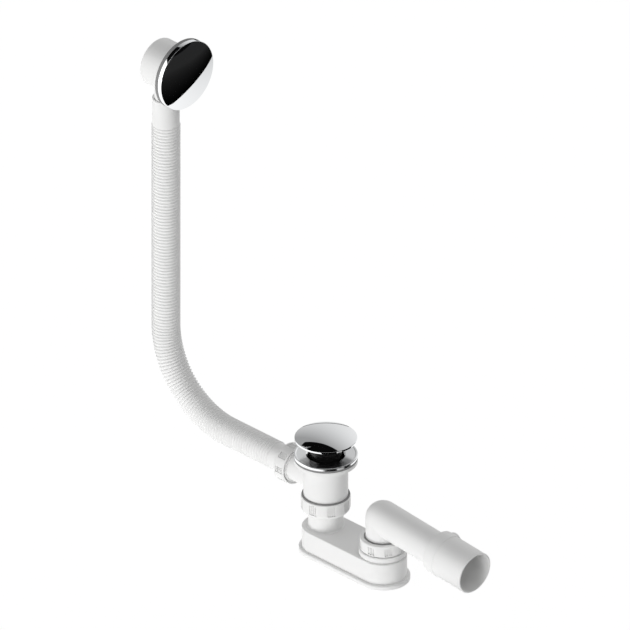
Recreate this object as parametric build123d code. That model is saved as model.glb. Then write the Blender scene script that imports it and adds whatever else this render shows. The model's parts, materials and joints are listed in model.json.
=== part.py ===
from build123d import *
import math
import os

os.makedirs("parts", exist_ok=True)

# Bath waste and overflow: a click plug in a chrome dish, a flat trap with its outlet,
# and a corrugated hose up to the overflow head.
# Sizes are in millimetres and degrees. The origin lies on the waste axis, in the plane where
# the dish's rim sits on the bath. +Z is up and +X runs along the trap to the outlet.

# Fits
slide_clear = 0.3  # pieces that slide, turn or screw on each other
seal_clear = 0.15  # rubber rings against the walls that hold them
screw_clear = 0.1  # screw shanks in their threads

# Main axes
outlet_run = 91.6  # waste axis to outlet axis
riser_reach = 255.5  # waste axis back to the hose riser
overflow_height = 407.9  # dish seat up to the overflow axis
spigot_drop = 29.0  # dish seat down to the side spigot's axis
trap_drop = 87.6  # dish seat down to the trap's roof
corner_drop = 40.9  # dish seat down to the corner of the outlet elbow

# Chrome dish
rim_r = 36.4
rim_t = 6.0
rim_round = 1.0
bevel_w = 3.0  # sloping band inside the rim
bevel_drop = 0.7
mouth_r = 22.6  # where the dish turns down into the throat
mouth_z = 5.0
throat_r = 21.0
throat_edge_drop = 1.6  # height of the turned edge
throat_depth = 27.5
dish_wall = 1.4
hole_r = 26.0  # hole in the bath
grid_t = 2.0
grid_slots = 6
grid_slot_angle = 38.0
grid_slot_inner = 16.4
grid_web = 1.0  # between the slots and the throat wall
flange_seal_t = 2.6
flange_seal_inner = 30.4
flange_seal_set = 0.4  # seal's edge inside the rim's edge

# Waste body
body_r = 25.4
body_wall = 2.2
body_length = 54.0
gasket_r = 34.0
gasket_t = 2.0
lip_r = 36.2
lip_t = 2.4  # under the gasket
lip_gap = 0.2  # lip's raised edge below the dish's seal
spider_gap = 2.0  # room under the grid for the pull of the clamp screw
spider_h = 7.0
spider_hub_r = 7.0
spider_arms = 3
spider_arm_w = 3.5
spigot_r = 17.2
spigot_thread_r = 20.0
spigot_thread_length = 8.5
spigot_length = 54.0  # from the waste axis

# Plug and its click mechanism
plug_r = 35.5
plug_lift = 24.8  # dish seat up to the cap's lower edge when the plug is open
plug_travel = 17.0
plug_edge = 2.0
plug_edge_round = 0.5
plug_dome = 7.0
plug_skin = 1.4
cap_boss_r = 10.0
plug_seal_t = 1.6
plug_seal_r = 25.0
plug_lip_w = 1.6
seal_seat_drop = 0.2  # top of the rubber seal above the cap's lower edge
sleeve_r = 18.2
sleeve_wall = 1.6
sleeve_plate = 2.5
sleeve_tail = 6.0  # sleeve below the dish seat when the plug is open
ridge_round = 1.0
ridge_h = 0.6
ridge_z = 11.2
stem_r = 7.8
stem_wall = 1.6
stem_plate = 2.5
stem_foot_t = 1.7
cartridge_r = 15.6
cartridge_wall = 3.1
cartridge_floor = 2.5
lid_t = 3.0
lid_spigot = 2.0
spring_wire_r = 0.5
spring_turns = 7
spring_wire_sides = 6
spring_gap = 0.4  # round the outside of the coils

# Screws and their brass inserts
screw_r = 2.5
screw_head_r = 4.25
screw_head_h = 3.2
screw_slot_w = 1.2
screw_slot_depth = 1.4
insert_r = 4.4
insert_h = 6.0
cap_screw_length = 12.0
clamp_screw_tail = 2.0  # below its insert

# Union nuts
nut_wall = 2.4
nut_edge = 0.6
nut_mouth = 1.4  # chamfer inside the mouth
nut_band = 1.8  # plain band above and below the grip recesses
grip_count = 8
grip_angle = 19.0
grip_depth = 1.5
grip_ribs = 3  # fine ribs on the floor of each recess
grip_rib_w = 0.9
grip_rib_h = 1.0
grip_phase = 13.5
nut_seal_h = 4.6
nut_seal_chamfer = 1.4
seal_lip_w = 1.7  # opening in the nut's closing end, round the pipe
seal_lip_h = 0.8  # seal's lip standing out of the nut
body_nut_h = 19.4
body_nut_grip = 16.4
body_nut_round = 5.6
mouth_ring_t = 1.2  # rubber ring on the body nut's mouth
mouth_ring_w = 2.0
mouth_ring_gap = 0.15  # ring below the side spigot
outlet_nut_h = 14.1
hose_nut_h = 16.0
hose_grip_phase = 0.5
small_nut_round = 1.2

# Trap
trap_r = 27.2
trap_h = 31.0
trap_wall = 2.4
trap_round = 1.2
foot_ledge = 3.7
foot_round = 2.2
foot_h = 5.5
foot_floor = 2.5
foot_upstand = 4.0
foot_upstand_w = 1.8
inlet_r = 20.1
inlet_top_drop = 50.0  # dish seat down to the top of the inlet tube
inlet_dip = 14.0  # inlet tube below the roof, for the water seal
inlet_fillet = 1.5
collar_r = 27.6
collar_h = 5.7
collar_edge = 0.8
collar_neck_r = 24.0
collar_neck_h = 2.8  # neck between the roof and the collar
outlet_neck_r = 23.6
outlet_neck_h = 8.6
outlet_nut_gap = 0.5  # between the collar and the nut
outlet_ledge = 2.0  # pipe stop above the roof

# Outlet pipe and adapter
pipe_r = 20.0
pipe_wall = 1.8
arm_fall = 5.0
arm_length = 111.0
arm_insert = 23.2  # arm inside the adapter
adapter_length = 59.5
adapter_r = 25.0
adapter_plain = 43.0  # plain wall that goes into the drain
adapter_stop = 0.5  # shoulder behind the plain wall
adapter_edge = 0.6
adapter_wall = 1.7
adapter_chamfer = 1.5
adapter_socket = 24.8
adapter_seal_set = 8.0
adapter_seal_w = 5.0
adapter_seal_t = 2.2
side_boss_r = 10.0
side_boss_reach = 31.0
side_boss_set = -2.2  # centre of the boss along the adapter, from its start
side_boss_round = 1.2

# Hose
hose_crest_r = 16.45
hose_root_r = 15.25
hose_pitch = 4.0
hose_bore_r = 13.5
hose_bend = 100.0
cuff_r = 15.6
upper_cuff = 34.6
lower_cuff = 39.0
hose_top_drop = 41.9  # overflow axis down to the hose's upper end
hose_end_reach = 38.0  # waste axis out to the hose's lower end

# Overflow head, along its own axis from the back of its gasket
head_set = 24.5  # hose riser to the back of the gasket
overflow_gasket_r = 41.8
overflow_gasket_t = 4.4
gasket_lip_w = 5.4  # flat lip outside the recess for the body's flange
gasket_recess = 0.4
cover_r = 41.8
cover_side = 5.0
cover_edge_round = 0.7
cover_dome = 7.0
cover_skin = 1.4
cover_boss_wall = 2.0
cover_boss_lift = 1.0  # cover's boss clear of the spokes
inlet_angle = 56.0  # width of the slot below, in the cover and the ring
inlet_h = 4.4
ring_t = 2.0
ring_opening_r = 24.0
ring_spokes = 3
ring_spoke_w = 6.0
ring_spoke_t = 1.8
ring_spoke_root = 1.0  # end of each spoke inside the plate
ring_hub_r = 7.0
ring_hub_h = 6.5
ring_hub_floor = 4.0
overflow_flange_t = 2.6
overflow_flange_r = 34.0
cup_r = 28.4
cup_depth = 38.0  # back of the gasket to the cup's rear face
cup_wall = 2.2
cup_round = 1.5
cup_boss_r = 7.0
cup_boss_h = 20.0
cup_boss_floor = 4.4  # behind the hole for the overflow screw
neck_wall = 2.4
neck_insert = 22.0  # length of the neck inside the hose
neck_seal_r = 0.6
neck_seal_up = 8.0  # from the neck's lower end
overflow_screw_tail = 1.5

# Levels and radii that follow from these
dish_r = rim_r - bevel_w
dish_z = rim_t - bevel_drop
throat_outer_r = throat_r + dish_wall
grid_bottom = -throat_depth - grid_t
body_top = -gasket_t
body_bottom = body_top - body_length
body_bore_r = body_r - body_wall
gasket_inner_r = hole_r + slide_clear
spider_top = grid_bottom - spider_gap
cartridge_seat = -throat_depth
cartridge_inside = cartridge_seat + cartridge_floor
lid_seat = -lid_t
seal_top = plug_lift + seal_seat_drop
seal_bottom = seal_top - plug_seal_t
sleeve_top = seal_bottom
stem_top = sleeve_top - sleeve_plate
stem_ceiling = stem_top - stem_plate
stem_bore_r = stem_r - stem_wall
stem_foot_r = cartridge_r - cartridge_wall - 2 * slide_clear
stem_foot_z = lid_seat - lid_spigot - slide_clear - stem_foot_t
mouth_ring_top = -spigot_drop - spigot_r - mouth_ring_gap
body_nut_mouth = mouth_ring_top - mouth_ring_t
body_nut_seat = body_nut_mouth - body_bottom + nut_seal_h
trap_floor = -trap_drop - trap_h
trap_seam = trap_floor + foot_h
collar_bottom = -trap_drop + collar_neck_h
collar_top = collar_bottom + collar_h
outlet_nut_mouth = collar_top + outlet_nut_gap
neck_top = collar_top + outlet_neck_h
outlet_nut_seat = neck_top - outlet_nut_mouth + nut_seal_h
hose_nut_seat = spigot_thread_length + nut_seal_h
pipe_bore_r = pipe_r - pipe_wall
pipe_stop = -trap_drop + outlet_ledge
adapter_start = arm_length - arm_insert
head_x = head_set - riser_reach
cover_back = overflow_gasket_t + seal_clear
ring_r = cover_r - cover_skin - slide_clear
neck_r = hose_bore_r - slide_clear
cup_front = gasket_recess - overflow_flange_t
neck_bottom = overflow_height - hose_top_drop - neck_insert

# Frames of the sloping arm, the side spigot and the overflow head, with local Z along the axis
arm_dir = Vector(math.cos(math.radians(arm_fall)), 0, -math.sin(math.radians(arm_fall)))
arm_frame = Plane(origin=(outlet_run, 0, -corner_drop), x_dir=(0, 1, 0), z_dir=arm_dir)
spigot_frame = Plane(origin=(0, 0, -spigot_drop), x_dir=(0, 1, 0), z_dir=(1, 0, 0))
head_frame = Plane(origin=(head_x, 0, overflow_height), x_dir=(0, 1, 0), z_dir=(1, 0, 0))
upside_down = Rot(180, 0, 0)


# Solid of revolution about Z from a closed half section of (radius, height) points
def turned(*points):
    return revolve(make_face(Plane.XZ * Polyline(*points, close=True)), Axis.Z)


def ring(outer_r, inner_r, bottom, top):
    return turned((inner_r, bottom), (outer_r, bottom), (outer_r, top), (inner_r, top))


def rod(radius, bottom, top):
    return turned((0, bottom), (radius, bottom), (radius, top), (0, top))


# Shallow dome: rim of the given radius and edge height, with the crown above the edge
def dome(radius, bottom, edge, crown):
    shoulder = bottom + edge
    arc_mid = dome_height(radius / 2, radius, crown)
    outline = Polyline((0, shoulder + crown), (0, bottom), (radius, bottom), (radius, shoulder))
    outline += ThreePointArc((radius, shoulder), (radius / 2, shoulder + arc_mid), (0, shoulder + crown))
    return revolve(make_face(Plane.XZ * outline), Axis.Z)


# Height of a spherical crown over its rim plane, at a distance from its axis
def dome_height(distance, radius, crown):
    sphere_r = (radius**2 + crown**2) / (2 * crown)
    return crown - sphere_r + math.sqrt(sphere_r**2 - distance**2)


# Dome with a rounded edge and a skin of even thickness, open below
def dome_shell(radius, bottom, edge, edge_round, crown, skin):
    outer = dome(radius, bottom, edge, crown)
    inner = dome(radius - skin, bottom, edge - skin, crown - skin / 2)
    return fillet(top_rim(outer), edge_round) - inner


# Sector of a ring, centred on the local X axis
def ring_sector(outer_r, inner_r, angle, bottom, top):
    section = Plane.XZ * Pos((outer_r + inner_r) / 2, (bottom + top) / 2) * Rectangle(
        outer_r - inner_r, top - bottom
    )
    return Rot(0, 0, -angle / 2) * revolve(section, Axis.Z, revolution_arc=angle)


# Cheese-head screw with its head standing on z = 0 and its shank below
def slotted_screw(length):
    screw = rod(screw_head_r, 0, screw_head_h) + rod(screw_r, -length, 0)
    slot = Pos(0, 0, screw_head_h) * Box(2 * screw_head_r, screw_slot_w, 2 * screw_slot_depth)
    return screw - slot


def brass_insert(bottom):
    return ring(insert_r, screw_r + screw_clear, bottom, bottom + insert_h)


# Largest of a solid's full circles at its upper end
def top_rim(solid):
    circles = solid.edges().filter_by(GeomType.CIRCLE).filter_by(lambda edge: edge.is_closed)
    return circles.group_by(Axis.Z)[-1].sort_by(SortBy.RADIUS)[-1]


# Union nut along +Z: mouth at z = 0, seat for the seal, rounded closing end round the pipe
def union_nut(thread_r, pipe_outer_r, seat_h, grip_h, end_h, end_round, phase):
    bore_r = thread_r + slide_clear
    outer_r = bore_r + nut_wall
    closing_r = pipe_outer_r + seal_lip_w
    blank = turned(
        (bore_r, nut_mouth),
        (bore_r + nut_mouth, 0),
        (outer_r - nut_edge, 0),
        (outer_r, nut_edge),
        (outer_r, end_h),
        (closing_r, end_h),
        (closing_r, seat_h),
        (bore_r, seat_h),
    )
    blank = fillet(top_rim(blank), end_round)
    recess_h = grip_h - 2 * nut_band
    recess_w = 2 * outer_r * math.sin(math.radians(grip_angle / 2))
    recess = Box(2 * grip_depth, recess_w, recess_h)
    rib = Pos(grip_rib_h / 2 - grip_depth, 0, 0) * Box(grip_rib_h, grip_rib_w, recess_h)
    recess -= [place * rib for place in GridLocations(0, recess_w / (grip_ribs + 1), 1, grip_ribs)]
    places = Pos(0, 0, nut_band + recess_h / 2) * PolarLocations(outer_r, grip_count, start_angle=phase)
    return blank - [place * recess for place in places]


# Tapered rubber ring between a pipe and a nut, thick end on the thread's end at z = 0.
# Its lip stands out of the nut's closing end, which is closing_t thick.
def nut_seal(thread_r, pipe_outer_r, closing_t):
    outer_r = thread_r - seal_clear
    inner_r = pipe_outer_r + seal_clear
    seal_lip_r = pipe_outer_r + seal_lip_w - seal_clear
    seal_lip_top = nut_seal_h + closing_t + seal_lip_h
    return turned(
        (inner_r, 0),
        (outer_r, 0),
        (outer_r, nut_seal_h - nut_seal_chamfer),
        (outer_r - nut_seal_chamfer, nut_seal_h),
        (seal_lip_r, nut_seal_h),
        (seal_lip_r, seal_lip_top),
        (inner_r, seal_lip_top),
    )


# Height of the dish's upper surface at a distance from its axis, outside the throat
def dish_surface(distance):
    return mouth_z + (dish_z - mouth_z) * (distance - mouth_r) / (dish_r - mouth_r)


def waste_flange():
    shell = turned(
        (rim_r, flange_seal_t),
        (rim_r, rim_t),
        (rim_r - 2 * rim_round, rim_t),
        (dish_r, dish_z),
        (mouth_r, mouth_z),
        (throat_r, mouth_z - throat_edge_drop),
        (throat_r, -throat_depth),
        (screw_r + screw_clear, -throat_depth),
        (screw_r + screw_clear, grid_bottom),
        (throat_outer_r, grid_bottom),
        (throat_outer_r, -dish_wall),
        (hole_r, 0),
        (flange_seal_inner, 0),
        (flange_seal_inner, flange_seal_t),
    )
    shell = fillet(top_rim(shell), rim_round)
    slot = ring_sector(throat_r - grid_web, grid_slot_inner, grid_slot_angle, grid_bottom, -throat_depth)
    return shell - [turn * slot for turn in PolarLocations(0, grid_slots)]


def flange_seal():
    return ring(rim_r - flange_seal_set, flange_seal_inner + seal_clear, 0, flange_seal_t)


def bath_gasket():
    return ring(gasket_r, gasket_inner_r, body_top, 0)


def waste_body():
    thread_start = -spigot_length + spigot_thread_length
    spigot = rod(spigot_r, -spigot_length, 0) + rod(spigot_thread_r, -spigot_length, thread_start)
    spigot_bore = rod(cuff_r + slide_clear, -spigot_length, 0)
    body = rod(body_r, body_bottom, body_top) + rod(lip_r, body_top - lip_t, -lip_gap)
    body += spigot_frame * spigot
    body -= rod(gasket_r + seal_clear, body_top, -lip_gap)
    body -= rod(body_bore_r, body_bottom, body_top)
    body -= turned(
        (0, body_top),
        (gasket_inner_r, body_top),
        (body_bore_r, body_top - gasket_inner_r + body_bore_r),
        (0, body_top - gasket_inner_r + body_bore_r),
    )
    body -= spigot_frame * spigot_bore
    arm_length_inside = body_bore_r + body_wall / 2
    arm = Pos(arm_length_inside / 2, 0, spider_top - spider_h / 2) * Box(
        arm_length_inside, spider_arm_w, spider_h
    )
    spider = rod(spider_hub_r, spider_top - spider_h, spider_top)
    body += spider + [turn * arm for turn in PolarLocations(0, spider_arms)]
    return body - rod(insert_r + screw_clear, spider_top - insert_h, spider_top) - rod(
        screw_r + slide_clear, spider_top - spider_h, spider_top
    )


def screw_insert():
    return brass_insert(spider_top - insert_h)


def clamp_screw():
    length = cartridge_inside - spider_top + insert_h + clamp_screw_tail
    return Pos(0, 0, cartridge_inside) * slotted_screw(length)


def click_cartridge():
    inner_r = cartridge_r - cartridge_wall
    cup = rod(cartridge_r, cartridge_seat, lid_seat) - rod(inner_r, cartridge_inside, lid_seat)
    return cup - rod(screw_r + screw_clear, cartridge_seat, cartridge_inside)


def cartridge_lid():
    inner_r = stem_r + slide_clear
    spigot_outer_r = cartridge_r - cartridge_wall - seal_clear
    return ring(cartridge_r, inner_r, lid_seat, 0) + ring(
        spigot_outer_r, inner_r, lid_seat - lid_spigot, lid_seat
    )


def plug_stem():
    stem = rod(stem_r, stem_foot_z, stem_top) + rod(stem_foot_r, stem_foot_z, stem_foot_z + stem_foot_t)
    stem -= rod(stem_bore_r, stem_foot_z, stem_ceiling)
    return stem - rod(screw_r + screw_clear, stem_ceiling, stem_top)


# Helical spring in the hollow stem, from the cartridge's floor to the stem's ceiling
def plug_spring():
    coil_r = stem_bore_r - spring_gap - spring_wire_r
    height = stem_ceiling - cartridge_inside - 2 * spring_wire_r
    path = Helix(pitch=height / spring_turns, height=height, radius=coil_r)
    wire = Plane(origin=path @ 0, z_dir=path % 0) * RegularPolygon(spring_wire_r, spring_wire_sides)
    return Pos(0, 0, cartridge_inside + spring_wire_r) * sweep(wire, path, is_frenet=True)


# Black sleeve under the cap, with a rounded ridge
def plug_sleeve():
    sleeve = rod(sleeve_r, -sleeve_tail, sleeve_top) - rod(
        sleeve_r - sleeve_wall, -sleeve_tail, stem_top
    )
    sleeve += Pos(0, 0, ridge_z) * Torus(sleeve_r + ridge_h - ridge_round, ridge_round)
    return sleeve - rod(screw_r + screw_clear, stem_top, sleeve_top)


# Rubber disc under the cap. Its lip meets the dish when the plug is pushed down.
def plug_seal():
    lip_bottom = dish_surface(plug_seal_r) + plug_travel + slide_clear
    return turned(
        (screw_r + screw_clear, seal_bottom),
        (plug_seal_r - 2 * plug_lip_w, seal_bottom),
        (plug_seal_r - plug_lip_w, lip_bottom),
        (plug_seal_r, lip_bottom),
        (plug_seal_r, seal_bottom),
        (plug_seal_r - plug_lip_w, seal_top),
        (screw_r + screw_clear, seal_top),
    )


def plug_cap():
    cap = dome_shell(plug_r, plug_lift, plug_edge, plug_edge_round, plug_dome, plug_skin)
    crown = plug_lift + plug_edge + plug_dome
    boss = rod(cap_boss_r, seal_top, crown) & dome(plug_r, plug_lift, plug_edge, plug_dome)
    tapped = rod(screw_r + screw_clear, seal_top, stem_ceiling + cap_screw_length + screw_clear)
    return cap + boss - tapped


def cap_screw():
    return Pos(0, 0, stem_ceiling) * upside_down * slotted_screw(cap_screw_length)


def body_nut():
    nut = union_nut(body_r, inlet_r, body_nut_seat, body_nut_grip, body_nut_h, body_nut_round, -grip_phase)
    return Pos(0, 0, body_nut_mouth) * upside_down * nut


def body_nut_seal():
    seal = nut_seal(body_r, inlet_r, body_nut_h - body_nut_seat)
    return Pos(0, 0, body_bottom) * upside_down * seal


def mouth_ring():
    return ring(body_r + mouth_ring_w, body_r + seal_clear, body_nut_mouth, mouth_ring_top)


def stadium(radius, bottom, top):
    outline = Pos(outlet_run / 2, 0, bottom) * SlotCenterToCenter(outlet_run, 2 * radius)
    return extrude(outline, top - bottom)


def trap_body():
    roof_bottom = -trap_drop - trap_wall
    vessel = stadium(trap_r, trap_seam, -trap_drop)
    vessel = fillet(vessel.edges().group_by(Axis.Z)[-1], trap_round)
    vessel -= stadium(trap_r - trap_wall, trap_seam, roof_bottom)
    dip_end = roof_bottom - inlet_dip
    vessel += rod(inlet_r, dip_end, -inlet_top_drop)
    vessel -= rod(inlet_r - pipe_wall, dip_end, -inlet_top_drop)
    vessel += turned(
        (inlet_r - pipe_wall / 2, -trap_drop),
        (inlet_r + inlet_fillet, -trap_drop),
        (inlet_r, -trap_drop + inlet_fillet),
        (inlet_r - pipe_wall / 2, -trap_drop + inlet_fillet),
    )
    collar = turned(
        (0, roof_bottom),
        (collar_neck_r, roof_bottom),
        (collar_neck_r, collar_bottom),
        (collar_r, collar_bottom),
        (collar_r, collar_top - collar_edge),
        (collar_r - collar_edge, collar_top),
        (outlet_neck_r, collar_top),
        (outlet_neck_r, neck_top),
        (0, neck_top),
    )
    vessel += Pos(outlet_run, 0, 0) * collar
    vessel -= Pos(outlet_run, 0, 0) * rod(pipe_r + slide_clear, pipe_stop, neck_top)
    return vessel - Pos(outlet_run, 0, 0) * rod(pipe_bore_r, roof_bottom, pipe_stop)


def trap_base():
    upstand_r = trap_r - trap_wall - seal_clear
    base = stadium(trap_r + foot_ledge, trap_floor, trap_seam)
    base = fillet(base.edges().group_by(Axis.Z)[-1], foot_round)
    base += stadium(upstand_r, trap_seam, trap_seam + foot_upstand)
    return base - stadium(upstand_r - foot_upstand_w, trap_floor + foot_floor, trap_seam + foot_upstand)


def outlet_nut():
    grip_h = outlet_nut_h - small_nut_round
    nut = union_nut(
        outlet_neck_r, pipe_r, outlet_nut_seat, grip_h, outlet_nut_h, small_nut_round, grip_phase
    )
    return Pos(outlet_run, 0, outlet_nut_mouth) * nut


def outlet_seal():
    return Pos(outlet_run, 0, neck_top) * nut_seal(outlet_neck_r, pipe_r, outlet_nut_h - outlet_nut_seat)


# Upright pipe and sloping arm of one radius, with a ball-shaped corner
def elbow_solid(radius):
    upright = Pos(outlet_run, 0, 0) * rod(radius, pipe_stop + slide_clear, -corner_drop)
    arm = arm_frame * rod(radius, 0, arm_length)
    return upright + arm + arm_frame * Sphere(radius)


def outlet_elbow():
    return elbow_solid(pipe_r) - elbow_solid(pipe_bore_r)


def outlet_adapter():
    mouth = adapter_start + adapter_length
    socket_end = adapter_start + adapter_socket
    groove = adapter_start + adapter_seal_set
    shoulder_r = adapter_r + adapter_stop
    shoulder = mouth - adapter_edge - adapter_plain
    blank = turned(
        (0, adapter_start),
        (shoulder_r - adapter_chamfer, adapter_start),
        (shoulder_r, adapter_start + adapter_chamfer),
        (shoulder_r, shoulder),
        (adapter_r, shoulder),
        (adapter_r, mouth - adapter_edge),
        (adapter_r - adapter_edge, mouth),
        (0, mouth),
    )
    boss_axis = adapter_start + side_boss_set
    boss = extrude(Circle(side_boss_r), side_boss_reach)
    boss = fillet(boss.edges().group_by(Axis.Z)[-1], side_boss_round)
    blank += Pos(0, 0, boss_axis) * Rot(0, 90, 0) * boss
    blank -= rod(pipe_r + slide_clear, boss_axis - side_boss_r, socket_end)
    blank -= rod(pipe_bore_r, socket_end, mouth)
    blank -= rod(adapter_r - adapter_wall, socket_end + adapter_wall, mouth)
    blank -= rod(pipe_r + adapter_seal_t, groove, groove + adapter_seal_w)
    return arm_frame * blank


def adapter_seal():
    bottom = adapter_start + adapter_seal_set + seal_clear
    top = bottom + adapter_seal_w - 2 * seal_clear
    return arm_frame * ring(
        pipe_r + adapter_seal_t - seal_clear, pipe_r + seal_clear, bottom, top
    )


def hose_path():
    corner = (-riser_reach, 0, -spigot_drop)
    top = (-riser_reach, 0, overflow_height - hose_top_drop)
    return FilletPolyline(top, corner, (-hose_end_reach, 0, -spigot_drop), radius=hose_bend)


# Corrugated hose with plain ends: circles of alternating radius along the bent path
def overflow_hose():
    path = hose_path()
    ribbed = path.length - upper_cuff - lower_cuff
    ribs = round(ribbed / hose_pitch)
    pitch = ribbed / ribs
    stations = [(0, cuff_r), (upper_cuff, cuff_r)]
    for rib in range(ribs):
        start = upper_cuff + rib * pitch
        stations += [(start + pitch / 4, hose_crest_r), (start + pitch * 3 / 4, hose_root_r)]
    stations += [(path.length - lower_cuff, cuff_r), (path.length, cuff_r)]
    sections = []
    for distance, radius in stations:
        share = distance / path.length
        sections.append(Plane(origin=path @ share, x_dir=(0, 1, 0), z_dir=path % share) * Circle(radius))
    bore = sweep(Plane(origin=path @ 0, x_dir=(0, 1, 0), z_dir=path % 0) * Circle(hose_bore_r), path)
    return loft(sections, ruled=True) - bore


def hose_nut():
    grip_h = hose_nut_h - small_nut_round
    nut = union_nut(
        spigot_thread_r, cuff_r, hose_nut_seat, grip_h, hose_nut_h, small_nut_round, hose_grip_phase
    )
    return spigot_frame * Pos(0, 0, spigot_thread_length - spigot_length) * upside_down * nut


def hose_seal():
    seal = nut_seal(spigot_thread_r, cuff_r, hose_nut_h - hose_nut_seat)
    return spigot_frame * Pos(0, 0, -spigot_length) * upside_down * seal


def overflow_body():
    cup = rod(cup_r, -cup_depth, cup_front)
    cup = fillet(cup.edges().group_by(Axis.Z)[0], cup_round)
    cup += rod(overflow_flange_r, cup_front, gasket_recess)
    cup -= rod(cup_r - cup_wall, cup_wall - cup_depth, gasket_recess)
    cup += rod(cup_boss_r, -cup_depth, cup_boss_h - cup_depth)
    cup -= rod(insert_r + screw_clear, cup_boss_h - cup_depth - insert_h, cup_boss_h - cup_depth)
    cup -= rod(screw_r + slide_clear, cup_boss_floor - cup_depth, cup_boss_h - cup_depth)
    cup = head_frame * cup
    solid_cup = head_frame * rod(cup_r - cup_wall, cup_wall - cup_depth, gasket_recess)
    neck = rod(neck_r, neck_bottom, overflow_height) - rod(neck_r - neck_wall, neck_bottom, overflow_height)
    seal_level = neck_bottom + neck_seal_up
    neck -= ring(
        neck_r, neck_r - 2 * neck_seal_r, seal_level - neck_seal_r - seal_clear,
        seal_level + neck_seal_r + seal_clear,
    )
    bore = rod(neck_r - neck_wall, neck_bottom, overflow_height - cup_boss_r)
    cup += Pos(-riser_reach, 0, 0) * neck - solid_cup
    return cup - Pos(-riser_reach, 0, 0) * bore


def neck_seal():
    loop_r = hose_bore_r - seal_clear - neck_seal_r
    return Pos(-riser_reach, 0, neck_bottom + neck_seal_up) * Torus(loop_r, neck_seal_r)


# Thick rubber ring. A recess in its back takes the body's flange.
def overflow_gasket():
    lip_inner = overflow_gasket_r - gasket_lip_w
    return head_frame * turned(
        (cup_r - cup_wall, gasket_recess),
        (lip_inner, gasket_recess),
        (lip_inner, 0),
        (overflow_gasket_r, 0),
        (overflow_gasket_r, overflow_gasket_t),
        (cup_r - cup_wall, overflow_gasket_t),
    )


def overflow_insert():
    return head_frame * brass_insert(cup_boss_h - cup_depth - insert_h)


def overflow_screw():
    head_seat = overflow_gasket_t + ring_hub_floor
    length = head_seat - cup_boss_h + cup_depth + insert_h + overflow_screw_tail
    return head_frame * Pos(0, 0, head_seat) * slotted_screw(length)


# Sector that water enters by, at the bottom of the overflow head
def inlet_sector(inner_r, outer_r, bottom, top):
    return Rot(0, 0, -90) * ring_sector(outer_r, inner_r, inlet_angle, bottom, top)


# Carrier of the cover: a plate with three spokes to the hub that the screw pulls on
def overflow_ring():
    plate = ring(ring_r, ring_opening_r, 0, ring_t) - inlet_sector(ring_opening_r, ring_r, 0, ring_t)
    reach = ring_opening_r + ring_spoke_root
    spoke = Pos(reach / 2, 0, ring_spoke_t / 2) * Box(reach, ring_spoke_w, ring_spoke_t)
    spokes = [turn * spoke for turn in PolarLocations(0, ring_spokes, start_angle=90)]
    plate += rod(ring_hub_r, 0, ring_hub_h) + spokes
    plate -= rod(screw_head_r + slide_clear, ring_hub_floor, ring_hub_h)
    plate -= rod(screw_r + screw_clear, 0, ring_hub_floor)
    return head_frame * Pos(0, 0, overflow_gasket_t) * plate


# Domed cover with a slot below, where water enters
def overflow_cover():
    cover = dome_shell(cover_r, cover_back, cover_side, cover_edge_round, cover_dome, cover_skin)
    cover -= inlet_sector(ring_opening_r, cover_r, cover_back, cover_back + inlet_h)
    boss_back = overflow_gasket_t + ring_spoke_t + cover_boss_lift
    boss_r = ring_hub_r + seal_clear
    boss = ring(boss_r + cover_boss_wall, boss_r, boss_back, cover_back + cover_side + cover_dome)
    cover += boss & dome(cover_r, cover_back, cover_side, cover_dome)
    return head_frame * cover


pieces = (
    overflow_cover,
    overflow_ring,
    overflow_screw,
    overflow_insert,
    overflow_gasket,
    overflow_body,
    neck_seal,
    overflow_hose,
    hose_nut,
    hose_seal,
    waste_flange,
    flange_seal,
    bath_gasket,
    waste_body,
    clamp_screw,
    screw_insert,
    plug_cap,
    plug_seal,
    plug_sleeve,
    plug_stem,
    cap_screw,
    click_cartridge,
    cartridge_lid,
    plug_spring,
    body_nut,
    body_nut_seal,
    mouth_ring,
    trap_body,
    trap_base,
    outlet_nut,
    outlet_seal,
    outlet_elbow,
    outlet_adapter,
    adapter_seal,
)

for make in pieces:
    solid = make()
    export_step(solid, f"parts/{make.__name__}.step")
    print(make.__name__, len(solid.solids()), round(solid.volume))
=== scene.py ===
import bmesh
import bpy
import json
import math
from mathutils import Matrix, Vector


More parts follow.
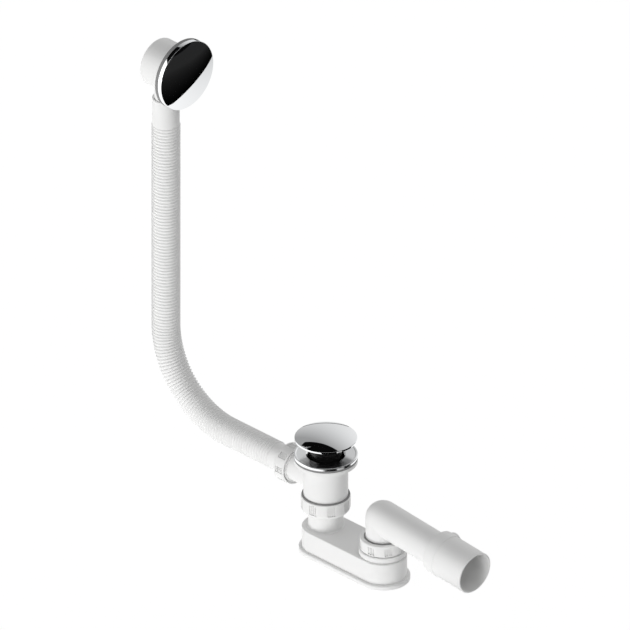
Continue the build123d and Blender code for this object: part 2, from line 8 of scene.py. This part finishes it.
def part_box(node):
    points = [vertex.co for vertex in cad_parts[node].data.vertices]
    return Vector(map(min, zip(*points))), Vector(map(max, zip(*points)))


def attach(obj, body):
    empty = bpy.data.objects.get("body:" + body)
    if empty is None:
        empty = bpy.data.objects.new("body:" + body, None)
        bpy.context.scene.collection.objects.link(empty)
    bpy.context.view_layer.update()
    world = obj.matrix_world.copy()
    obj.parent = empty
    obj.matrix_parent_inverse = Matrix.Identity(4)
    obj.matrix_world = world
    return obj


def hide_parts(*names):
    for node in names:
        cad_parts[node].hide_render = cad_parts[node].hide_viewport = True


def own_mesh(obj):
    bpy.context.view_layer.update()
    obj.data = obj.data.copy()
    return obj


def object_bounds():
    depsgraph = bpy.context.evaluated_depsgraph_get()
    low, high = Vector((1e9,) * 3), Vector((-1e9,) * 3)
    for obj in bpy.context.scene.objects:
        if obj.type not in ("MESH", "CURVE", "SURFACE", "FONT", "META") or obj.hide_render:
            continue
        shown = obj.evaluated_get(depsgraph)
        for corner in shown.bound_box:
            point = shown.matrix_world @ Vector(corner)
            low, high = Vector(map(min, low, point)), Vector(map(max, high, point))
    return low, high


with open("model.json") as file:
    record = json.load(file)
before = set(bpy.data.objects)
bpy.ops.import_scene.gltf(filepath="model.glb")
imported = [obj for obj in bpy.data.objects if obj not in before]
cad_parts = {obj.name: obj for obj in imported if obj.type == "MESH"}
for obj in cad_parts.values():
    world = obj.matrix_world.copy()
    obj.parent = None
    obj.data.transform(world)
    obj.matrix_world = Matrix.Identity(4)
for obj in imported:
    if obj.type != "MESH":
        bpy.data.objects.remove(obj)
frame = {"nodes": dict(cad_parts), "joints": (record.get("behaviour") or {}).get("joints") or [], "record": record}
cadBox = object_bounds()
nodes = frame["nodes"]
print("frame loaded,", len(nodes), "nodes")


# one socket of a node tree, with arithmetic that adds Math nodes
class Wire:
    def __init__(self, graph, socket):
        self.graph = graph
        self.socket = socket

    def calc(self, operation, *values):
        return self.graph.add("ShaderNodeMath", {"operation": operation}, dict(enumerate(values)))

    def __add__(self, other):
        return self.calc("ADD", self, other)

    def __radd__(self, other):
        return self.calc("ADD", other, self)

    def __sub__(self, other):
        return self.calc("SUBTRACT", self, other)

    def __rsub__(self, other):
        return self.calc("SUBTRACT", other, self)

    def __mul__(self, other):
        return self.calc("MULTIPLY", self, other)

    def __rmul__(self, other):
        return self.calc("MULTIPLY", other, self)

    def __truediv__(self, other):
        return self.calc("DIVIDE", self, other)

    def __rtruediv__(self, other):
        return self.calc("DIVIDE", other, self)

    def __gt__(self, other):
        return self.calc("GREATER_THAN", self, other)

    def __lt__(self, other):
        return self.calc("LESS_THAN", self, other)

    def most(self, other):
        return self.calc("MAXIMUM", self, other)

    def least(self, other):
        return self.calc("MINIMUM", self, other)

    def sine(self):
        return self.calc("SINE", self)


# a node tree, where add makes any node: settings first, then the sockets by name or number
class Graph:
    def __init__(self, tree):
        self.tree = tree
        tree.nodes.clear()

    def add(self, kind, settings=None, sockets=None, out=0):
        made = self.tree.nodes.new(kind)
        for name, value in (settings or {}).items():
            setattr(made, name, value)
        for key, value in (sockets or {}).items():
            self.feed(made.inputs[key], value)
        return Wire(self, made.outputs[out]) if made.outputs else None

    def feed(self, entry, value):
        if isinstance(value, Wire):
            self.tree.links.new(value.socket, entry)
        else:
            entry.default_value = value

    def other(self, wire, out):  # another output of the same node
        return Wire(self, wire.socket.node.outputs[out])

    def parts(self, vector):  # x, y and z of a vector
        split = self.add("ShaderNodeSeparateXYZ", None, {0: vector})
        return split, self.other(split, "Y"), self.other(split, "Z")

    def noise(self, place, scale, detail, rough=0.55):
        return self.add("ShaderNodeTexNoise", None,
                        {"Vector": place, "Scale": scale, "Detail": detail, "Roughness": rough})

    def bump(self, height, strength, distance):
        return self.add("ShaderNodeBump", None,
                        {"Strength": strength, "Distance": distance, "Height": height})

    def blend(self, share, first, second):  # two colours
        return self.add("ShaderNodeMix", {"data_type": "RGBA"}, {0: share, 6: first, 7: second}, 2)


def grey(level):
    return (level, level, level, 1.0)


# a material with its graph, the place on the object and the shader, whose fixed sockets are set here
def startLook(name, fixed):
    look = bpy.data.materials.new(name)
    look.use_nodes = True
    graph = Graph(look.node_tree)
    place = graph.add("ShaderNodeTexCoord", None, None, "Object")
    surface = graph.add("ShaderNodeBsdfPrincipled", None, fixed)
    graph.add("ShaderNodeOutputMaterial", None, {"Surface": surface})
    return look, graph, place, surface.socket.node.inputs


# white moulded plastic: faint mottling, a satin skin with uneven gloss and a very fine orange peel
whitePlastic = {
    "pale": (0.875, 0.875, 0.870, 1.0), "dull": (0.850, 0.850, 0.845, 1.0), "specular": 0.4,
    "mottleScale": 38.0, "mottleDetail": 4.0,
    "gloss": 0.34, "glossSpread": 0.16, "glossScale": 90.0, "glossDetail": 5.0,
    "peelScale": 1500.0, "peelDetail": 2.0, "peelHeight": 0.00002, "peelStrength": 0.35,
}


def makeWhitePlastic():
    v = whitePlastic
    look, graph, place, shader = startLook("whitePlastic", {"Specular IOR Level": v["specular"]})
    mottle = graph.noise(place, v["mottleScale"], v["mottleDetail"])
    graph.feed(shader["Base Color"], graph.blend(mottle, v["dull"], v["pale"]))
    patches = graph.noise(place, v["glossScale"], v["glossDetail"])
    graph.feed(shader["Roughness"], v["gloss"] + v["glossSpread"] * patches)
    peel = graph.noise(place, v["peelScale"], v["peelDetail"])
    graph.feed(shader["Normal"], graph.bump(peel, v["peelStrength"], v["peelHeight"]))
    return look


# bright chrome plate: nearly a mirror, with a few hazy wipe marks, a little duller in the dish
chrome = {
    "colour": (0.86, 0.87, 0.88, 1.0), "clean": 0.025, "dull": 0.15,
    "haze": 0.05, "hazeFrom": 0.45, "hazeScale": 22.0, "hazeDetail": 6.0, "hazeRough": 0.7,
}


def makeChrome(name, least):
    v = chrome
    look, graph, place, shader = startLook(name, {"Base Color": v["colour"], "Metallic": 1.0})
    wipes = graph.noise(place, v["hazeScale"], v["hazeDetail"], v["hazeRough"])
    graph.feed(shader["Roughness"], least + v["haze"] * (wipes - v["hazeFrom"]).most(0.0))
    return look


# glossy black plastic of the sleeve, with turned tool marks round its axis
blackPlastic = {
    "deep": grey(0.006), "worn": grey(0.016), "specular": 0.5,
    "gloss": 0.16, "glossSpread": 0.14, "scale": 120.0, "detail": 5.0,
    "markPitch": 0.0006, "markHeight": 0.000004, "markStrength": 0.3,
}


def makeBlackPlastic():
    v = blackPlastic
    look, graph, place, shader = startLook("blackPlastic", {"Specular IOR Level": v["specular"]})
    patches = graph.noise(place, v["scale"], v["detail"])
    graph.feed(shader["Base Color"], graph.blend(patches, v["deep"], v["worn"]))
    graph.feed(shader["Roughness"], v["gloss"] + v["glossSpread"] * patches)
    height = graph.parts(place)[2]
    marks = (height * (2 * math.pi / v["markPitch"])).sine()
    graph.feed(shader["Normal"], graph.bump(marks, v["markStrength"], v["markHeight"]))
    return look


# matt grey plastic of the click mechanism, and the paler bare inside of the caps
matts = {
    "greyPlastic": {"pale": grey(0.38), "dull": grey(0.30)},
    "capInside": {"pale": grey(0.62), "dull": grey(0.54)},
    "specular": 0.4, "scale": 160.0, "detail": 5.0, "gloss": 0.45, "glossSpread": 0.2,
    "grainHeight": 0.00003, "grainStrength": 0.2,
}


def makeMatt(name):
    v = {**matts, **matts[name]}
    look, graph, place, shader = startLook(name, {"Specular IOR Level": v["specular"]})
    grain = graph.noise(place, v["scale"], v["detail"])
    graph.feed(shader["Base Color"], graph.blend(grain, v["dull"], v["pale"]))
    graph.feed(shader["Roughness"], v["gloss"] + v["glossSpread"] * grain)
    graph.feed(shader["Normal"], graph.bump(grain, v["grainStrength"], v["grainHeight"]))
    return look


# grey rubber and paler silicone with a dry, faintly dusty skin
rubbers = {
    "rubber": {"deep": grey(0.21), "dusty": grey(0.31)},
    "silicone": {"deep": grey(0.52), "dusty": grey(0.62)},
    "specular": 0.3, "scale": 240.0, "detail": 6.0, "rough": 0.65, "gloss": 0.62, "glossSpread": 0.25,
    "dustHeight": 0.00004, "dustStrength": 0.3,
}


def makeRubber(name):
    v = {**rubbers, **rubbers[name]}
    look, graph, place, shader = startLook(name, {"Specular IOR Level": v["specular"]})
    dust = graph.noise(place, v["scale"], v["detail"], v["rough"])
    graph.feed(shader["Base Color"], graph.blend(dust, v["deep"], v["dusty"]))
    graph.feed(shader["Roughness"], v["gloss"] + v["glossSpread"] * dust)
    graph.feed(shader["Normal"], graph.bump(dust, v["dustStrength"], v["dustHeight"]))
    return look


# metal of the screws, the spring and the inserts: fine grain and a little tarnish
metals = {
    "steel": {"bright": (0.62, 0.62, 0.63, 1.0), "dark": (0.42, 0.42, 0.43, 1.0), "gloss": 0.22},
    "brass": {"bright": (0.80, 0.60, 0.28, 1.0), "dark": (0.55, 0.38, 0.16, 1.0), "gloss": 0.26},
    "tarnishScale": 60.0, "tarnishDetail": 5.0, "glossSpread": 0.2,
    "grainScale": 900.0, "grainDetail": 2.0, "grainHeight": 0.00002, "grainStrength": 0.15,
}


def makeMetal(name):
    v = {**metals, **metals[name]}
    look, graph, place, shader = startLook(name, {"Metallic": 1.0})
    tarnish = graph.noise(place, v["tarnishScale"], v["tarnishDetail"])
    graph.feed(shader["Base Color"], graph.blend(tarnish, v["dark"], v["bright"]))
    grain = graph.noise(place, v["grainScale"], v["grainDetail"])
    graph.feed(shader["Roughness"], v["gloss"] + v["glossSpread"] * grain)
    graph.feed(shader["Normal"], graph.bump(grain, v["grainStrength"], v["grainHeight"]))
    return look


looks = {
    "white_plastic": makeWhitePlastic(),
    "chrome": makeChrome("chrome", chrome["clean"]),
    "black_plastic": makeBlackPlastic(),
    "grey_plastic": makeMatt("greyPlastic"),
    "rubber": makeRubber("rubber"),
    "silicone": makeRubber("silicone"),
    "steel": makeMetal("steel"),
    "brass": makeMetal("brass"),
}
for part in frame["record"]["subparts"]:
    slots = nodes[part["node"]].data.materials
    slots.clear()
    slots.append(looks[part["material_slot"]])
nodes["waste_flange"].data.materials[0] = makeChrome("dishChrome", chrome["dull"])
print("materials made,", len(looks) + 1)


# a finished piece in place of a node
def addPiece(name, mesh, body, node):
    piece = bpy.data.objects.new(name, mesh)
    bpy.context.scene.collection.objects.link(piece)
    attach(piece, body)
    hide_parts(node)
    print(name, "made,", len(mesh.polygons), "faces")
    return piece


# a geometry tree with a path and a named input for each size
def startTree(name, amounts, counts):
    graph = Graph(bpy.data.node_groups.new(name, "GeometryNodeTree"))
    doors = graph.tree.interface
    doors.new_socket("Path", in_out="INPUT", socket_type="NodeSocketGeometry")
    keys = {}
    for labels, kind in ((amounts, "NodeSocketFloat"), (counts, "NodeSocketInt")):
        for label in labels:
            keys[label] = doors.new_socket(label, in_out="INPUT", socket_type=kind).identifier
    doors.new_socket("Shape", in_out="OUTPUT", socket_type="NodeSocketGeometry")
    entry = graph.add("NodeGroupInput")
    return graph, keys, entry, {label: graph.other(entry, label) for label in keys}


def endTree(graph, shape, look):
    smooth = graph.add("GeometryNodeSetShadeSmooth", None, {"Geometry": shape, "Shade Smooth": True})
    real = graph.add("GeometryNodeRealizeInstances", None, {0: smooth})
    dressed = graph.add("GeometryNodeSetMaterial", None, {"Geometry": real, "Material": look})
    graph.add("NodeGroupOutput", None, {0: dressed})


def pathCurve(name, route):
    curve = bpy.data.curves.new(name, "CURVE")
    curve.dimensions = "3D"
    spline = curve.splines.new("POLY")
    spline.points.add(len(route) - 1)
    for point, place in zip(spline.points, route):
        point.co = (*place, 1.0)
    return curve


# runs a tree on a path with its sizes set, and keeps the plain mesh
def treeMesh(name, route, graph, keys, values):
    maker = bpy.data.objects.new(name, pathCurve(name, route))
    bpy.context.scene.collection.objects.link(maker)
    modifier = maker.modifiers.new(name, "NODES")
    modifier.node_group = graph.tree
    for label, key in keys.items():
        modifier[key] = values[label]
    seen = maker.evaluated_get(bpy.context.evaluated_depsgraph_get())
    mesh = bpy.data.meshes.new_from_object(seen)
    maker.modifiers.remove(modifier)
    bpy.data.objects.remove(maker)
    mesh.name = name
    return mesh


# corrugated hose: plain cuffs at both ends and round ribs along the bent path between them
hose = {
    "crest": 0.01645, "root": 0.01525, "cuff": 0.0156, "bore": 0.0135, "bend": 0.100, "bendSteps": 60,
    "pitch": 0.0040, "upperCuff": 0.0346, "lowerCuff": 0.0390,
    "fullness": 1.7, "stepsPerRib": 10, "sides": 64,
}


def hosePath():
    low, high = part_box("overflow_hose")
    riserX = low.x + hose["crest"]
    runZ = low.z + hose["crest"]
    route = (riserX, 0, high.z), (riserX, 0, runZ), (high.x, 0, runZ)
    legs = abs(high.z - runZ) + abs(high.x - riserX)
    return route, legs - (2 - math.pi / 2) * hose["bend"]


# the tree: rounds the corner of the path, swells it into ribs and sweeps an outer and an inner skin
def hoseTree(look):
    amounts = (
        "crest", "root", "cuff", "bore", "bend", "pitch", "upperCuff", "lowerCuff", "fullness", "length",
    )
    graph, keys, entry, size = startTree("hoseRibs", amounts, ("bendSteps", "steps", "sides"))
    rounded = graph.add("GeometryNodeFilletCurve", {"mode": "POLY"},
                        {"Curve": entry, "Count": size["bendSteps"], "Radius": size["bend"]})
    even = graph.add("GeometryNodeResampleCurve", {"mode": "COUNT"},
                     {"Curve": rounded, "Count": size["steps"]})
    along = graph.add("GeometryNodeSplineParameter", None, None, "Length")
    turn = (along - size["upperCuff"]) * (2 * math.pi) / size["pitch"]
    wave = (turn.sine() * size["fullness"]).most(-1.0).least(1.0)
    middle = (size["crest"] + size["root"]) * 0.5
    ribbed = middle + wave * (size["crest"] - size["root"]) * 0.5
    inRibs = (along > size["upperCuff"]) * (along < size["length"] - size["lowerCuff"])
    outerR = size["cuff"] + inRibs * (ribbed - size["cuff"])
    circle = graph.add("GeometryNodeCurvePrimitiveCircle", None,
                       {"Resolution": size["sides"], "Radius": 1.0})
    outside = graph.add("GeometryNodeCurveToMesh", None,
                        {"Curve": even, "Profile Curve": circle, "Scale": outerR})
    inside = graph.add("GeometryNodeCurveToMesh", None,
                       {"Curve": rounded, "Profile Curve": circle, "Scale": size["bore"]})
    turned = graph.add("GeometryNodeFlipFaces", None, {"Mesh": inside})
    both = graph.add("GeometryNodeJoinGeometry", None, {0: outside})
    graph.feed(both.socket.node.inputs[0], turned)
    endTree(graph, both, look)
    return graph, keys


def closeEnds(mesh):  # joins the outer and the inner skin at both ends
    shape = bmesh.new()
    shape.from_mesh(mesh)
    rims = [edge for edge in shape.edges if edge.is_boundary]
    top = max(v.co.z for edge in rims for v in edge.verts)
    upper = [edge for edge in rims if min(v.co.z for v in edge.verts) > top - hose["root"] / 2]
    lower = [edge for edge in rims if edge not in upper]
    for ends in (upper, lower):
        bmesh.ops.bridge_loops(shape, edges=ends)
    bmesh.ops.recalc_face_normals(shape, faces=shape.faces)
    shape.to_mesh(mesh)
    shape.free()


def makeHose(look):
    route, length = hosePath()
    ribbedLength = length - hose["upperCuff"] - hose["lowerCuff"]
    pitch = ribbedLength / round(ribbedLength / hose["pitch"])
    steps = round(length / pitch * hose["stepsPerRib"]) + 1
    graph, keys = hoseTree(look)
    worked = {**hose, "pitch": pitch, "length": length, "steps": steps}
    mesh = treeMesh("corrugatedHose", route, graph, keys, worked)
    closeEnds(mesh)
    addPiece("corrugatedHose", mesh, "waste_set", "overflow_hose")


makeHose(looks["white_plastic"])

# the plug's return spring: even turns of round wire, made at the node's length; the real spring is pressed down to
# its foot as the plug closes
spring = {"wire": 0.00045, "turns": 7.0, "stepsPerTurn": 36, "sides": 12, "joint": "plug_slide"}


def springTree(look):
    amounts = ("wire", "turns", "coil", "height")
    graph, keys, entry, size = startTree("springCoil", amounts, ("stepsPerTurn", "sides"))
    helix = graph.add("GeometryNodeCurveSpiral", None, {
        "Resolution": size["stepsPerTurn"], "Rotations": size["turns"], "Height": size["height"],
        "Start Radius": size["coil"], "End Radius": size["coil"], "Reverse": True,
    })
    section = graph.add("GeometryNodeCurvePrimitiveCircle", None,
                        {"Resolution": size["sides"], "Radius": size["wire"]})
    wire = graph.add("GeometryNodeCurveToMesh", None,
                     {"Curve": helix, "Profile Curve": section, "Fill Caps": True})
    foot = graph.add("GeometryNodeSampleCurve", {"mode": "FACTOR", "data_type": "FLOAT"},
                     {"Curves": entry}, "Position")
    placed = graph.add("GeometryNodeTransform", None, {"Geometry": wire, "Translation": foot})
    endTree(graph, placed, look)
    return graph, keys


def makeSpring(look):
    low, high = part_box("plug_spring")
    length = high.z - low.z
    wire = spring["wire"]
    worked = {**spring, "coil": (high.x - low.x) / 2 - wire, "height": length - 2 * wire}
    route = (0, 0, low.z + wire), (0, 0, high.z - wire)
    graph, keys = springTree(look)
    mesh = treeMesh("coilSpring", route, graph, keys, worked)
    piece = addPiece("coilSpring", mesh, "waste_set", "plug_spring")
    travel = next(joint["range_m"] for joint in frame["joints"] if joint["name"] == spring["joint"])
    1 + travel[0] / length
    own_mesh(piece)


makeSpring(looks["steel"])

# domed caps: a spherical crown over a short side wall, with a rounded edge, an even skin and a boss inside
caps = {
    "overflowDome": {
        "node": "overflow_cover", "body": "waste_set", "towards": "X",
        "radius": 0.0418, "side": 0.0050, "edge": 0.0007, "crown": 0.0070, "skin": 0.0014,
        "bossOuter": 0.00915, "bossInner": 0.00715, "bossFoot": 0.00265, "holeTop": 0.0098,
        "slotAngle": 56.0, "slotHeight": 0.0044, "slotInner": 0.0240,
    },
    "plugDome": {
        "node": "plug_cap", "body": "plug", "towards": "Z",
        "radius": 0.0355, "side": 0.0020, "edge": 0.0005, "crown": 0.0070, "skin": 0.0014,
        "bossOuter": 0.0100, "bossInner": 0.0026, "bossFoot": 0.0002, "holeTop": 0.0057,
    },
    "sides": 192, "arcSteps": 28, "edgeSteps": 6, "sharpAngle": 35.0, "wedgeSides": 32, "weld": 1e-7,
    "level": 0.2, "nearEdge": 0.994,
}


# radius and height of points on an arc of a circle round a centre on the profile
def arcPoints(centre, radius, first, last, steps):
    turns = [first + (last - first) * step / steps for step in range(steps + 1)]
    return [(centre[0] + radius * math.sin(turn), centre[1] + radius * math.cos(turn)) for turn in turns]


def capProfile(v):
    ball = (v["radius"] ** 2 + v["crown"] ** 2) / (2 * v["crown"])
    middle = v["side"] + v["crown"] - ball  # height of the crown's centre
    inset = v["radius"] - v["edge"]
    edgeZ = middle + math.sqrt((ball - v["edge"]) ** 2 - inset ** 2)
    turn = math.atan2(inset, edgeZ - middle)
    points = arcPoints((0.0, middle), ball, 0.0, turn * caps["nearEdge"], caps["arcSteps"])
    points += arcPoints((inset, edgeZ), v["edge"], turn, math.pi / 2, caps["edgeSteps"])
    innerR = v["radius"] - v["skin"]
    innerCrown = v["crown"] - v["skin"] / 2
    innerBall = (innerR ** 2 + innerCrown ** 2) / (2 * innerCrown)
    innerZ = v["side"] - v["skin"] + innerCrown - innerBall
    wide = math.asin(innerR / innerBall)
    narrow = math.asin(v["bossOuter"] / innerBall)
    points += [(v["radius"], 0.0), (innerR, 0.0)]
    points += arcPoints((0.0, innerZ), innerBall, wide, narrow, caps["arcSteps"])
    points += [(v["bossOuter"], v["bossFoot"]), (v["bossInner"], v["bossFoot"])]
    return points + [(v["bossInner"], v["holeTop"]), (0.0, v["holeTop"])]


# where a cap's own height axis and middle lie in the frame
def capPlace(v):
    low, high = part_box(v["node"])
    if v["towards"] == "X":
        return Matrix.Translation((low.x, 0, high.z - v["radius"])) @ Matrix.Rotation(math.pi / 2, 4, "Y")
    return Matrix.Translation((0, 0, low.z))


def turnedMesh(name, profile, angle, sides, place):
    shape = bmesh.new()
    line = [shape.verts.new((radius, 0, height)) for radius, height in profile]
    edges = [shape.edges.new(pair) for pair in zip(line, line[1:])]
    if angle < 2 * math.pi:
        edges.append(shape.edges.new((line[-1], line[0])))
    bmesh.ops.spin(shape, geom=line + edges, cent=(0, 0, 0), axis=(0, 0, 1), angle=angle, steps=sides)
    bmesh.ops.remove_doubles(shape, verts=shape.verts, dist=caps["weld"])
    bmesh.ops.holes_fill(shape, edges=shape.edges)
    bmesh.ops.recalc_face_normals(shape, faces=shape.faces)
    bmesh.ops.transform(shape, matrix=place, verts=shape.verts)
    mesh = bpy.data.meshes.new(name)
    shape.to_mesh(mesh)
    shape.free()
    return mesh


# the slot that water enters by, cut out of the lower side with a wedge
def cutSlot(mesh, v, place):
    half = math.radians(v["slotAngle"]) / 2
    inner, outer = v["slotInner"], v["radius"] + v["side"]
    low, high = -v["skin"], v["slotHeight"]
    outline = [(inner, low), (outer, low), (outer, high), (inner, high)]
    turned = place @ Matrix.Rotation(-half, 4, "Z")
    wedgeMesh = turnedMesh("slotWedge", outline, 2 * half, caps["wedgeSides"], turned)
    wedge = bpy.data.objects.new("slotWedge", wedgeMesh)
    whole = bpy.data.objects.new("wholeCap", mesh)
    for maker in (wedge, whole):
        bpy.context.scene.collection.objects.link(maker)
    cut = whole.modifiers.new("slot", "BOOLEAN")
    cut.object = wedge
    cut.solver = "EXACT"
    seen = whole.evaluated_get(bpy.context.evaluated_depsgraph_get())
    result = bpy.data.meshes.new_from_object(seen)
    whole.modifiers.remove(cut)
    for maker in (wedge, whole):
        bpy.data.objects.remove(maker)
    return result


# the crown and the side wall keep the first material, and the inside takes the second
def dressInside(mesh, v, place):
    axis = place.to_3x3() @ Vector((0, 0, 1))
    own = place.inverted()
    for face in mesh.polygons:
        facing = face.normal.dot(axis)
        outside = (own @ face.center).xy.length > v["radius"] - v["skin"] / 2
        onSide = outside and abs(facing) < caps["level"]
        face.material_index = 0 if facing > caps["level"] or onSide else 1


def makeCap(name, plate, inside):
    v = caps[name]
    place = capPlace(v)
    mesh = turnedMesh(name, capProfile(v), 2 * math.pi, caps["sides"], place)
    if "slotAngle" in v:
        mesh = cutSlot(mesh, v, place)
    mesh.name = name
    mesh.materials.clear()
    mesh.materials.append(plate)
    mesh.materials.append(inside)
    dressInside(mesh, v, place)
    mesh.shade_smooth()
    mesh.set_sharp_from_angle(angle=math.radians(caps["sharpAngle"]))
    addPiece(name, mesh, v["body"], v["node"])


capInside = makeMatt("capInside")
makeCap("overflowDome", looks["chrome"], capInside)
makeCap("plugDome", looks["chrome"], capInside)

# pale floor: nearly white to the camera, with faint shadows, and for what is polished a dark floor
# with a pool of light
floorLook = {
    "size": 14.0, "grey": 0.86, "cameraWhite": 0.82, "cameraGlow": 1.12,
    "poolEdge": 0.23, "poolCurve": 0.69, "poolMiddle": 0.56, "poolReach": -0.33,
    "poolNear": 1.16, "poolFade": 0.40, "darkFar": 0.022, "darkRise": 0.015,
}


def makeFloor():
    v = floorLook
    half = v["size"] / 2
    level = cadBox[0][2]
    mesh = bpy.data.meshes.new("floor")
    corners = [(-half, -half, level), (half, -half, level), (half, half, level), (-half, half, level)]
    mesh.from_pydata(corners, [], [(0, 1, 2, 3)])
    floor = bpy.data.objects.new("floor", mesh)
    bpy.context.scene.collection.objects.link(floor)
    floor.visible_shadow = False  # the key lamp stands below it
    look = bpy.data.materials.new("paleFloor")
    look.use_nodes = True
    graph = Graph(look.node_tree)
    place = graph.add("ShaderNodeTexCoord", None, None, "Object")
    x, y = graph.parts(place)[:2]
    bow = (y - v["poolMiddle"]).most(v["poolReach"])
    beyond = x - v["poolEdge"] + v["poolCurve"] * bow * bow
    pool = (beyond < 0.0) * (v["poolNear"] - v["poolFade"] * y)
    gloom = (beyond * v["darkRise"]).most(0.0).least(v["darkFar"])
    direct = graph.add("ShaderNodeLightPath", None, None, "Is Camera Ray")
    mirrored = graph.other(direct, "Is Glossy Ray")
    through = graph.other(direct, "Is Transmission Ray")
    plain = graph.add("ShaderNodeBsdfDiffuse", None, {"Color": grey(v["grey"])})
    white = graph.add("ShaderNodeEmission", None, {"Color": grey(1.0), "Strength": v["cameraGlow"]})
    shadowed = graph.add("ShaderNodeMixShader", None,
                         {0: (direct + through) * v["cameraWhite"], 1: plain, 2: white})
    lit = graph.add("ShaderNodeEmission", None, {"Color": grey(1.0), "Strength": pool + gloom})
    both = graph.add("ShaderNodeMixShader", None, {0: mirrored, 1: shadowed, 2: lit})
    graph.add("ShaderNodeOutputMaterial", None, {"Surface": both})
    mesh.materials.append(look)


# the room: white to the camera, plain grey light, and for what is polished a dark room with pale panels
# behind, at the left and overhead in front
room = {
    "grey": 0.52, "dark": 0.003, "panelFoot": -0.03, "panelTop": 2.2, "panelFlare": 0.22,
    "panelSide": 0.15, "panelBright": 1.04, "panelLeast": 0.36,
    "wallTop": (-1.064, -0.188), "wallDip": 0.15, "wallBright": 1.9,
    "overFoot": 0.55, "overTop": 0.82, "overBright": 0.7, "overBounces": 1.5,
}


def makeRoom():
    v = room
    world = bpy.data.worlds.new("room")
    bpy.context.scene.world = world
    world.use_nodes = True
    graph = Graph(world.node_tree)
    toward = graph.add("ShaderNodeTexCoord", None, None, "Generated")
    x, y, z = graph.parts(toward)
    panelTop = y * v["panelTop"] + (x * -v["panelFlare"]).most(0.0)
    wallTop = x * v["wallTop"][0] + y * v["wallTop"][1] + y.least(0.0) * v["wallDip"]
    onPanels = (z > v["panelFoot"]) * (z < panelTop.most(wallTop)) * (x < y * v["panelSide"])
    bright = (y * v["panelBright"]).most(v["panelLeast"]) + (y * -v["wallBright"]).most(0.0)
    direct = graph.add("ShaderNodeLightPath", None, None, "Is Camera Ray")
    mirroredOnce = graph.other(direct, "Glossy Depth") < v["overBounces"]
    inFront = x > y * v["panelSide"]
    overhead = (z > v["overFoot"]) * (z < v["overTop"]) * inFront * mirroredOnce
    seen = onPanels * bright + overhead * v["overBright"] + v["dark"]
    mirrored = graph.other(direct, "Is Glossy Ray")
    through = graph.other(direct, "Is Transmission Ray")
    level = v["grey"] + mirrored * (seen - v["grey"])
    level = level + (direct + through).least(1.0) * (1.0 - level)
    sky = graph.add("ShaderNodeBackground", None, {"Color": grey(1.0), "Strength": level})
    graph.add("ShaderNodeOutputWorld", None, {"Surface": sky})


# a soft key lamp from the left and below, and a weak one from behind
lamps = {
    "keyLamp": {"from": (0.079, -0.903, -0.423), "power": 2.1, "soft": 40.0},
    "backLamp": {"from": (-0.3, 0.9, 0.25), "power": 0.35, "soft": 60.0},
}


def makeLamp(name):
    v = lamps[name]
    light = bpy.data.lights.new(name, "SUN")
    light.energy = v["power"]
    light.angle = math.radians(v["soft"])
    lamp = bpy.data.objects.new(name, light)
    lamp.rotation_euler = Vector(v["from"]).to_track_quat("Z", "Y").to_euler()
    lamp.visible_glossy = False
    bpy.context.scene.collection.objects.link(lamp)


# the photo's parallel view
view = {
    "azimuth": 45.0, "elevation": 30.0, "frameWidth": 0.7119, "aimRight": -0.0122, "aimUp": 0.1611,
    "distance": 3.0, "clipEnd": 20.0,
}


def makeCamera():
    turn = math.radians(view["azimuth"])
    tilt = math.radians(view["elevation"])
    right = Vector((math.cos(turn), math.sin(turn), 0))
    back = Vector((math.sin(turn) * math.cos(tilt), -math.cos(turn) * math.cos(tilt), math.sin(tilt)))
    up = back.cross(right)
    data = bpy.data.cameras.new("camera")
    data.type = "ORTHO"
    data.ortho_scale = view["frameWidth"]
    data.clip_end = view["clipEnd"]
    camera = bpy.data.objects.new("camera", data)
    aim = right * view["aimRight"] + up * view["aimUp"]
    axes = Matrix((right, up, back)).transposed().to_4x4()
    camera.matrix_world = Matrix.Translation(aim + back * view["distance"]) @ axes
    bpy.context.scene.collection.objects.link(camera)
    bpy.context.scene.camera = camera


makeFloor()
makeRoom()
for name in lamps:
    makeLamp(name)
makeCamera()
bpy.context.scene.view_settings.view_transform = "Standard"
print("stage set")
